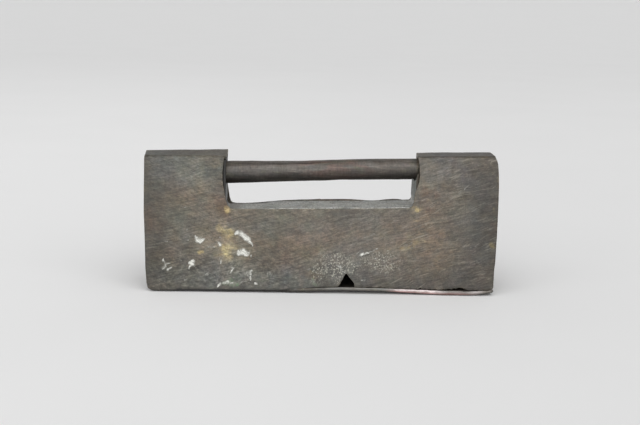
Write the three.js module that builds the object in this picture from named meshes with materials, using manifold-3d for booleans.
// Sliding-bolt spring padlock of the old Chinese "broad lock" kind, in millimetres, +Z up.
// Origin: centre of the underside, on the plane the lock rests on. +X runs along the lock, away from
// the mouth the bolt slides out of. +Y points to the back; the front face looks towards -Y, and
// left and right are -X and +X.
//
// The body is a folded sheet with two raised ears, closed by a bottom plate, a keyhole plate and a
// mouth wall, with a U-shaped liner in the notch between the ears. The bolt is a round shackle bar
// and a flat stem riveted to one end plate. Four leaf springs on the stem catch behind the mouth wall.
import * as THREE from 'three';
import { mergeVertices } from 'three/addons/utils/BufferGeometryUtils.js';
import Module from 'manifold-3d';

const wasm = await Module();
wasm.setup();

// ---- driving dimensions -------------------------------------------------------------------------
const GAP = 0.1;               // clearance between joined parts
const FINE_GAP = 0.05;         // clearance around solder, springs and rivets
const REACH = 70;              // cutting shapes run to this distance on either side along X
const BELOW_Z = -6;            // cutting shapes start at this height, under the lock

const BASE_HALF = 15;          // half the depth of the body at its underside
const FACE_LEAN = 0.184;       // how far each face leans in, per unit of height
const TOP_Z = 49.35;           // height of the ear tops at the middle of the lock
const TOP_SLOPE = 0.0125;      // the ear tops rise by this towards +X
const SHEET = 1.2;             // thickness of the folded sheet
const FOLD_R = 1.5;            // outside radius of the folds along the ear tops
const PLATE = 1.4;             // thickness of the mouth wall and the keyhole plate
const BOTTOM_T = 1.0;          // thickness of the bottom plate

// The bolt's own frame has the bar's axis as its X axis.
const BOLT_TILT = THREE.MathUtils.degToRad(1.9); // the bolt slopes up towards +X by this
const BAR_Z = 43.2;            // height of the bar's axis at the middle of the lock
const BAR_HOLE_R = 4.45;       // hole for the bar in the liner and the mouth wall
const BAR_NECK_R = 2.6;        // the bar where it passes through the end plate
const STEM_Z = -27.5;          // the stem's axis, in the bolt's own frame
const STEM_T = 3.0;
const STEM_TIP_X = 23;
const TENON_W = 2.3;           // the stem where it passes through the end plate
const TENON_H = 5.7;
const END_X = -64.3;           // outer face of the bolt's end plate, in the bolt's own frame
const END_T = 1.6;
const END_INNER_X = END_X + END_T;
const MOUTH_X = -62.4;         // outer face of the mouth wall, in the bolt's own frame

const KEY_PLATE_X = 61.0;      // inner face of the keyhole plate
const WARD_X = 44.0;           // inner face of the ward plate

// ---- materials ----------------------------------------------------------------------------------
const metal = (settings) => new THREE.MeshStandardMaterial(settings);
const patina = metal({ color: 0x6f6a60, roughness: 0.62, metalness: 0.75 });
const linerMetal = metal({ color: 0x7a7c74, roughness: 0.6, metalness: 0.7 });
const plateMetal = metal({ color: 0x74706a, roughness: 0.6, metalness: 0.7 });
const barMetal = metal({ color: 0x5f5753, roughness: 0.55, metalness: 0.8 });
const innerMetal = metal({ color: 0x66604f, roughness: 0.65, metalness: 0.7 });
const springMetal = metal({ color: 0x8f7d4e, roughness: 0.4, metalness: 0.9 });
const rivetMetal = metal({ color: 0x83764f, roughness: 0.45, metalness: 0.9 });
const solderMetal = metal({ color: 0x8b8d8c, roughness: 0.7, metalness: 0.6 });

// ---- geometry helpers ---------------------------------------------------------------------------
// Welds a closed geometry into a Manifold solid.
function solid(geometry) {
  geometry.deleteAttribute('normal');
  geometry.deleteAttribute('uv');
  const welded = mergeVertices(geometry, 1e-4);
  const made = new wasm.Manifold(new wasm.Mesh({
    numProp: 3,
    vertProperties: new Float32Array(welded.getAttribute('position').array),
    triVerts: new Uint32Array(welded.index.array),
  }));
  if (made.volume() <= 0) throw new Error('a solid is inside out');
  return made;
}

function geometryOf(manifold) {
  const mesh = manifold.getMesh();
  const geometry = new THREE.BufferGeometry();
  const positions = new Float32Array(mesh.vertProperties);
  geometry.setAttribute('position', new THREE.BufferAttribute(positions, 3));
  geometry.setIndex(new THREE.BufferAttribute(new Uint32Array(mesh.triVerts), 1));
  geometry.computeVertexNormals();
  return geometry;
}

const vectors = (points) => points.map(([u, v]) => new THREE.Vector2(u, v));

// A prism along Z from a loop of (x, y) points.
function prismZ(points, z0, z1) {
  const shape = new THREE.Shape(vectors(points));
  const options = { depth: z1 - z0, bevelEnabled: false, steps: 1 };
  return new THREE.ExtrudeGeometry(shape, options).translate(0, 0, z0);
}

const AXIS_X = new THREE.Vector3(1, 0, 0);
const AXIS_Y = new THREE.Vector3(0, 1, 0);
const AXIS_Z = new THREE.Vector3(0, 0, 1);

// A prism along X from a loop of (y, z) points.
const prismX = (points, x0, x1) => prismZ(points, 0, x1 - x0)
  .applyMatrix4(new THREE.Matrix4().makeBasis(AXIS_Y, AXIS_Z, AXIS_X))
  .translate(x0, 0, 0);

// A prism along Y from a loop of (x, z) points.
const prismY = (points, y0, y1) => prismZ(points, 0, y1 - y0)
  .applyMatrix4(new THREE.Matrix4().makeBasis(AXIS_X, AXIS_Z, AXIS_Y.clone().negate()))
  .translate(0, y1, 0);

// A body of revolution about X from (x, radius) points that start and end on the axis.
const turnedX = (points, segments) =>
  new THREE.LatheGeometry(vectors(points.map(([x, radius]) => [radius, x])), segments)
    .rotateZ(-Math.PI / 2);

const cylinderX = (radius, x0, x1, segments) =>
  turnedX([[x0, 0], [x0, radius], [x1, radius], [x1, 0]], segments);

const box = (size, centre) => new THREE.BoxGeometry(...size).translate(...centre);

const rectangle = (u0, u1, v0, v1) => [[u0, v0], [u1, v0], [u1, v1], [u0, v1]];

// Points along an arc, with its angles in degrees.
function arc(centreU, centreV, radius, from, to, steps) {
  const points = [];
  for (let i = 0; i <= steps; i++) {
    const angle = THREE.MathUtils.degToRad(from + ((to - from) * i) / steps);
    points.push([centreU + radius * Math.cos(angle), centreV + radius * Math.sin(angle)]);
  }
  return points;
}

// ---- shared shapes of the body and the bolt -----------------------------------------------------
const halfDepth = (z) => BASE_HALF - FACE_LEAN * z; // outside half depth at a height
const WALL = SHEET * Math.hypot(1, FACE_LEAN);      // the sheet's thickness measured along Y
const tiltTop = (geometry) => geometry.rotateY(-Math.atan(TOP_SLOPE));

// The space inside the folded sheet, drawn in by a margin, from a height up.
function cavity(margin, bottom, x0 = -REACH, x1 = REACH) {
  const top = TOP_Z - SHEET - margin;
  const lowHalf = halfDepth(BELOW_Z) - WALL - margin;
  const topHalf = halfDepth(top) - WALL - margin;
  const loop = [[-lowHalf, BELOW_Z], [lowHalf, BELOW_Z], [topHalf, top], [-topHalf, top]];
  return solid(tiltTop(prismX(loop, x0, x1)))
    .intersect(solid(box([200, 60, 80], [0, 0, bottom + 40])));
}

const boltMatrix = new THREE.Matrix4().makeRotationY(-BOLT_TILT).setPosition(0, 0, BAR_Z);

// A solid drawn in the bolt's own frame and placed in the lock's.
const solidInBolt = (geometry) => solid(geometry.applyMatrix4(boltMatrix));

const barHole = (x0, x1, radius) => solidInBolt(cylinderX(radius, x0, x1, 32));

// A slab square to the bolt, larger than the body's section.
const boltSlab = (x, thickness) =>
  solidInBolt(box([thickness, 60, 90], [x + thickness / 2, 0, -20]));

// ---- folded body sheet --------------------------------------------------------------------------
// (y, z) loop: up the front, over the two folds and down the back, then back along the inside.
function foldedSection() {
  const lean = Math.atan(FACE_LEAN);
  const leanDegrees = THREE.MathUtils.radToDeg(lean);
  const foldZ = TOP_Z - FOLD_R;
  const foldY = halfDepth(TOP_Z) - FOLD_R * Math.tan((Math.PI / 2 - lean) / 2);
  const innerR = FOLD_R - SHEET;
  const lowHalf = halfDepth(BELOW_Z);
  return [
    [-lowHalf, BELOW_Z],
    ...arc(-foldY, foldZ, FOLD_R, 180 - leanDegrees, 90, 5),
    ...arc(foldY, foldZ, FOLD_R, 90, leanDegrees, 5),
    [lowHalf, BELOW_Z],
    [lowHalf - WALL, BELOW_Z],
    ...arc(foldY, foldZ, innerR, leanDegrees, 90, 3),
    ...arc(-foldY, foldZ, innerR, 90, 180 - leanDegrees, 3),
    [-lowHalf + WALL, BELOW_Z],
  ];
}

// Outline of the body seen from the front, as (x, z), counter-clockwise from the lower left.
const BODY_OUTLINE = [
  // underside and right end
  [-60.3, 0.25], [62.7, 0.25], [63.4, 2.7], [63.6, 9.2], [64.1, 15.3], [64.45, 21.8],
  [64.8, 30.9], [65.0, 38.8], [64.7, 47.0],
  // rounded upper right corner, then above the right ear
  ...arc(61.7, 47.15, 3.0, 10, 90, 5).slice(0, -1),
  [61.0, 50.6], [60.0, 52.0],
  // right side of the notch, downwards
  [35.3, 52.0], [35.5, 48.3], [35.9, 42.3], [35.6, 40.2], [34.6, 37.6], [34.2, 35.4],
  [33.9, 33.4], [33.2, 31.4], [32.6, 30.7],
  // notch floor
  [20, 30.75], [8, 30.5], [0, 30.3], [-12, 30.05], [-24, 29.8],
  // left side of the notch, upwards
  [-33.1, 29.2], [-33.6, 30.6], [-34.2, 32.0], [-34.9, 34.0], [-35.45, 36.5], [-35.75, 39.0],
  [-35.7, 42.0], [-35.55, 46.0], [-35.5, 52.0],
  // above the left ear, then down the left end
  [-63.4, 52.0], [-63.9, 48.6], [-64.8, 47.6], [-65.0, 43.0], [-65.0, 28.2], [-64.4, 18.0],
  [-64.0, 8.0], [-63.6, 4.5], [-63.2, 2.7], [-62.5, 0.9],
];

// The lower edge of the front sheet, as (x, z): it covers the bottom plate on the left, and is worn
// away into a ragged gap on the right, with one wedge-shaped opening.
const TRIM_X = 80; // the trimming shapes run to this on either side
const FRONT_EDGE = [
  [-TRIM_X, 0.25], [-9.5, 0.3], [-7.0, 0.8], [-5.2, 1.1], [-3.0, 1.3], [2.0, 1.55], [6.1, 1.65],
  [9.5, 7.0], [13.2, 1.75], [16.0, 1.9], [20.0, 1.6], [24.0, 1.95], [28.5, 1.6], [33.0, 1.8],
  [36.5, 1.45], [40.0, 1.95], [43.5, 1.55], [47.0, 1.85], [51.0, 1.4], [55.0, 1.75],
  [59.0, 1.35], [TRIM_X, 1.5],
];

function makeShell() {
  const underFront = [...FRONT_EDGE, [TRIM_X, BELOW_Z], [-TRIM_X, BELOW_Z]];
  const underBack = rectangle(-TRIM_X, TRIM_X, BELOW_Z, BOTTOM_T + GAP);
  return solid(tiltTop(prismX(foldedSection(), -REACH, REACH)))
    .intersect(solid(prismY(BODY_OUTLINE, -30, 30)))
    .subtract(solid(prismY(underFront, -30, -1)))
    .subtract(solid(prismY(underBack, -1, 30)));
}

// ---- notch liner --------------------------------------------------------------------------------
const FLOOR_Z = 30.3;          // height of the notch floor at the middle of the lock
const FLOOR_SLOPE = 0.02;      // the notch floor rises by this towards +X
const LINER_T = 1.2;
const LINER_LEFT = -35.3;      // notch-side faces of the liner's two legs
const LINER_RIGHT = 35.1;
const LINER_R = 1.6;           // inside radius of the liner's bends

function makeLiner() {
  const legTop = 60; // above the ears; the cavity trims the legs
  const bendZ = (x) => FLOOR_Z + FLOOR_SLOPE * x + LINER_R;
  const leftBend = [LINER_LEFT + LINER_R, bendZ(LINER_LEFT)];
  const rightBend = [LINER_RIGHT - LINER_R, bendZ(LINER_RIGHT)];
  const outerR = LINER_R + LINER_T;
  const loop = [
    [LINER_LEFT, legTop],
    ...arc(...leftBend, LINER_R, 180, 270, 6),
    ...arc(...rightBend, LINER_R, 270, 360, 6),
    [LINER_RIGHT, legTop],
    [LINER_RIGHT + LINER_T, legTop],
    ...arc(...rightBend, outerR, 360, 270, 6),
    ...arc(...leftBend, outerR, 270, 180, 6),
    [LINER_LEFT - LINER_T, legTop],
  ];
  return solid(prismY(loop, -20, 20))
    .intersect(cavity(GAP, 20))
    .subtract(barHole(-45, -30, BAR_HOLE_R))
    .subtract(barHole(30, 45, BAR_HOLE_R));
}

// ---- bottom plate -------------------------------------------------------------------------------
// Its front edge lies inside the sheet on the left, and reaches out under the worn edge on the right.
function makeBottomPlate() {
  const fitZ = 1.9; // the front edge on the left clears the sheet's inside at this height
  const frontY = -(halfDepth(fitZ) - WALL - FINE_GAP);
  const loop = [
    [-61.6, frontY], [-4.8, frontY], [-4.6, -14.75], [30, -15.0], [63.6, -15.1],
    [63.6, 15.1], [-61.6, 15.1],
  ];
  return solid(prismZ(loop, 0, BOTTOM_T));
}

// ---- mouth wall, parallel to the bolt's end plate -----------------------------------------------
const SLOT_W = 7.4;            // slot for the stem and the squeezed springs
const SLOT_H = 10.6;

function makeMouthWall() {
  return boltSlab(MOUTH_X, PLATE)
    .intersect(cavity(GAP, BOTTOM_T + GAP, -REACH, -50))
    .subtract(barHole(-REACH, -50, BAR_HOLE_R))
    .subtract(solidInBolt(box([30, SLOT_W, SLOT_H], [-60, 0, STEM_Z])));
}

// ---- keyhole plate and ward plate at the right end ----------------------------------------------
const KEY_Z = 17.4;            // reference height of the keyhole
const KEY_SLOT_HALF = 2.6;     // half width of the keyhole's slot
const KEY_ROUND_R = 3.8;       // round opening at the top of the slot
const WARD_T = 1.2;
const WARD_TOP_Z = 29.6;

function makeKeyholePlate() {
  const slot = rectangle(-KEY_SLOT_HALF, KEY_SLOT_HALF, KEY_Z - 7, KEY_Z + 2);
  const keyhole = solid(prismX(slot, 50, 70))
    .add(solid(cylinderX(KEY_ROUND_R, 50, 70, 28).translate(0, 0, KEY_Z + 3.6)));
  return cavity(GAP, BOTTOM_T + GAP, KEY_PLATE_X, KEY_PLATE_X + PLATE).subtract(keyhole);
}

// Its rectangular opening has a tab on either side: the front one high, the back one low.
function makeWardPlate() {
  const opening = solid(prismX(rectangle(-4.2, 4.2, 8, 25), 40, 50))
    .subtract(solid(prismX(rectangle(-5, -2.9, 19.5, 21.5), 39, 51)))
    .subtract(solid(prismX(rectangle(2.9, 5, 12.5, 14.5), 39, 51)));
  return cavity(GAP, BOTTOM_T + GAP, WARD_X, WARD_X + WARD_T)
    .intersect(solid(box([10, 40, 40], [WARD_X, 0, WARD_TOP_Z - 20])))
    .subtract(opening);
}

// ---- solder beads -------------------------------------------------------------------------------
// The front seam holds on the left only; the back seam runs on to the ward plate.
const BEAD = 1.5;              // height of the long beads, and their width at the base
const BEAD_Z = BOTTOM_T + FINE_GAP;
const SEAM_LEFT = -59.0;
const FRONT_SEAM_RIGHT = -10.0;
const BACK_SEAM_RIGHT = WARD_X - 0.2;
const END_BEAD_T = 0.7;        // thickness of the rim of solder outside the keyhole plate
const END_BEAD_INSET = 0.9;    // how far that rim's inner edge stands in from the sheet

// side is -1 for the front and 1 for the back.
function makeSeam(side, rightX) {
  const beyond = 16; // past the sheet's inside; the cavity trims it
  const loop = [
    [beyond, BEAD_Z],
    [halfDepth(BEAD_Z) - WALL - BEAD, BEAD_Z],
    [halfDepth(BEAD_Z + BEAD) - WALL, BEAD_Z + BEAD],
    [beyond, BEAD_Z + BEAD],
  ].map(([y, z]) => [side * y, z]);
  return solid(prismX(loop, SEAM_LEFT, rightX)).intersect(cavity(FINE_GAP, BEAD_Z));
}

function makeEndSeam() {
  const x0 = KEY_PLATE_X + PLATE + FINE_GAP;
  return cavity(FINE_GAP, BEAD_Z, x0, x0 + END_BEAD_T)
    .subtract(cavity(END_BEAD_INSET, BOTTOM_T + END_BEAD_INSET, 50, 80));
}

// ---- bolt: end plate ----------------------------------------------------------------------------
const END_CLEAR = 0.38;        // drawn in from the cavity by this, so that it slides free

function makeBoltEndPlate() {
  const tenonHole = box([12, TENON_W + 2 * GAP, TENON_H + 2 * GAP], [-64, 0, STEM_Z]);
  return boltSlab(END_X, END_T)
    .intersect(cavity(END_CLEAR, BOTTOM_T + END_CLEAR + GAP, -75, -50))
    .subtract(barHole(-70, -60, BAR_NECK_R + GAP))
    .subtract(solidInBolt(tenonHole));
}

// ---- bolt: shackle bar --------------------------------------------------------------------------
const BAR_R = 3.7;
const BAR_ROOT_R = 4.0;        // the bar is thicker near the end plate
const BAR_TIP_X = 50;
const BAR_STEP = 0.02;         // run of the steep faces on either side of the neck

function makeShackleBar() {
  return turnedX([
    // riveted head outside the end plate
    [END_X - 0.6, 0], [END_X - 0.6, 2.4], [END_X - GAP - BAR_STEP, 3.4],
    // neck through the end plate
    [END_X - GAP, BAR_NECK_R], [END_INNER_X + GAP, BAR_NECK_R],
    // thick root, tapering to the bar
    [END_INNER_X + GAP + BAR_STEP, BAR_ROOT_R], [-26, BAR_ROOT_R], [-10, BAR_R],
    // worn-down tip
    [BAR_TIP_X - 2, BAR_R], [BAR_TIP_X - 0.5, BAR_R - 1.1], [BAR_TIP_X, BAR_R - 2.4],
    [BAR_TIP_X, 0],
  ], 32);
}

// ---- bolt: stem, leaf springs and rivets --------------------------------------------------------
const STEM_H = 9.0;
const SPRING_T = 0.7;
const SPRING_H = 3.6;
const SPRING_ROOT_X = 14;      // where each spring leaves the stem
const SPRING_BEND = 1.2;       // length of the short curve there
const SPRING_TIP_X = MOUTH_X + PLATE + 0.8;
const SPRING_SPLAY = THREE.MathUtils.degToRad(3.4);
const SPRING_Y = STEM_T / 2 + FINE_GAP; // stem-side face of each spring's fixed end
const SPRING_OFFSET = SPRING_H / 2 + 0.35; // from the stem's axis to a spring's middle height
const RIVET_R = 0.9;
const RIVET_HEAD_R = 1.5;
const LEVELS = { upper: STEM_Z + SPRING_OFFSET, lower: STEM_Z - SPRING_OFFSET };
const RIVET_XS = { tip: STEM_TIP_X - 4.0, inner: STEM_TIP_X - 7.5 };
const SIDES = { front: -1, back: 1 };

const rivetHole = (x, z) =>
  solid(new THREE.CylinderGeometry(RIVET_R + GAP, RIVET_R + GAP, 14, 16).translate(x, 0, z));

function makeStem() {
  const rootX = END_INNER_X + GAP;
  const lowZ = STEM_Z - STEM_H / 2;
  const highZ = STEM_Z + STEM_H / 2;
  const cutX = STEM_TIP_X - 2.5; // the tip's corners are cut off from here
  const cutZ = 2;
  const outline = [
    [rootX, lowZ], [cutX, lowZ], [STEM_TIP_X, lowZ + cutZ],
    [STEM_TIP_X, highZ - cutZ], [cutX, highZ], [rootX, highZ],
  ];
  const tenon = box([END_T + 0.6, TENON_W, TENON_H], [END_X + END_T / 2, 0, STEM_Z]);
  const tenonHead = box([0.5, 3.2, 6.8], [END_X - 0.38, 0, STEM_Z]);
  let stem = solid(prismY(outline, -STEM_T / 2, STEM_T / 2))
    .add(solid(tenon))
    .add(solid(tenonHead));
  for (const x of Object.values(RIVET_XS)) {
    for (const z of Object.values(LEVELS)) stem = stem.subtract(rivetHole(x, z));
  }
  return stem;
}

function makeSpring(side, z) {
  const rise = (SPRING_ROOT_X - SPRING_TIP_X) * Math.tan(SPRING_SPLAY);
  const fixedX = STEM_TIP_X - 1.6;
  const bendX = SPRING_ROOT_X - SPRING_BEND;
  const inner = SPRING_Y;
  const outer = SPRING_Y + SPRING_T;
  const loop = [
    [fixedX, inner], [fixedX, outer], [SPRING_ROOT_X, outer + 0.02], [bendX, outer + 0.09],
    [SPRING_TIP_X, outer + rise], [SPRING_TIP_X, inner + rise],
    [bendX, inner + 0.06], [SPRING_ROOT_X, inner],
  ].map(([x, y]) => [x, side * y]);
  let spring = solid(prismZ(loop, z - SPRING_H / 2, z + SPRING_H / 2));
  for (const x of Object.values(RIVET_XS)) spring = spring.subtract(rivetHole(x, z));
  return spring;
}

// A rivet along Y through the stem and two springs, with a domed head on each side.
function makeRivet(x, z) {
  const headY = SPRING_Y + SPRING_T + FINE_GAP;
  const frontHalf = [
    [0, -headY - 0.8], [0.9, -headY - 0.7], [RIVET_HEAD_R, -headY], [RIVET_R, -headY + 0.01],
  ];
  const backHalf = frontHalf.map(([radius, y]) => [radius, -y]).reverse();
  return new THREE.LatheGeometry(vectors([...frontHalf, ...backHalf]), 16).translate(x, 0, z);
}

// ---- scene graph --------------------------------------------------------------------------------
const lock = new THREE.Group();
lock.name = 'sliding_bolt_padlock';

function addPiece(parent, name, shape, material) {
  const geometry = shape.isBufferGeometry ? shape : geometryOf(shape);
  const mesh = new THREE.Mesh(geometry, material);
  mesh.name = name;
  parent.add(mesh);
}

// Pieces drawn in the lock's frame; the bolt's end plate is one, as it is cut from the cavity.
const body = new THREE.Group();
lock.add(body);
addPiece(body, 'body_shell', makeShell(), patina);
addPiece(body, 'notch_liner', makeLiner(), linerMetal);
addPiece(body, 'bottom_plate', makeBottomPlate(), plateMetal);
addPiece(body, 'mouth_wall', makeMouthWall(), innerMetal);
addPiece(body, 'keyhole_plate', makeKeyholePlate(), plateMetal);
addPiece(body, 'ward_plate', makeWardPlate(), innerMetal);
addPiece(body, 'front_seam_solder', makeSeam(SIDES.front, FRONT_SEAM_RIGHT), solderMetal);
addPiece(body, 'back_seam_solder', makeSeam(SIDES.back, BACK_SEAM_RIGHT), solderMetal);
addPiece(body, 'keyhole_plate_solder', makeEndSeam(), solderMetal);
addPiece(body, 'bolt_end_plate', makeBoltEndPlate(), plateMetal);

// Pieces drawn in the bolt's own frame.
const bolt = new THREE.Group();
bolt.position.set(0, 0, BAR_Z);
bolt.rotation.y = -BOLT_TILT;
lock.add(bolt);
addPiece(bolt, 'shackle_bar', makeShackleBar(), barMetal);
addPiece(bolt, 'bolt_stem', makeStem(), innerMetal);
for (const [sideName, side] of Object.entries(SIDES)) {
  for (const [level, z] of Object.entries(LEVELS)) {
    addPiece(bolt, `spring_${sideName}_${level}`, makeSpring(side, z), springMetal);
  }
}
for (const [level, z] of Object.entries(LEVELS)) {
  for (const [place, x] of Object.entries(RIVET_XS)) {
    addPiece(bolt, `rivet_${level}_${place}`, makeRivet(x, z), rivetMetal);
  }
}

export default lock;
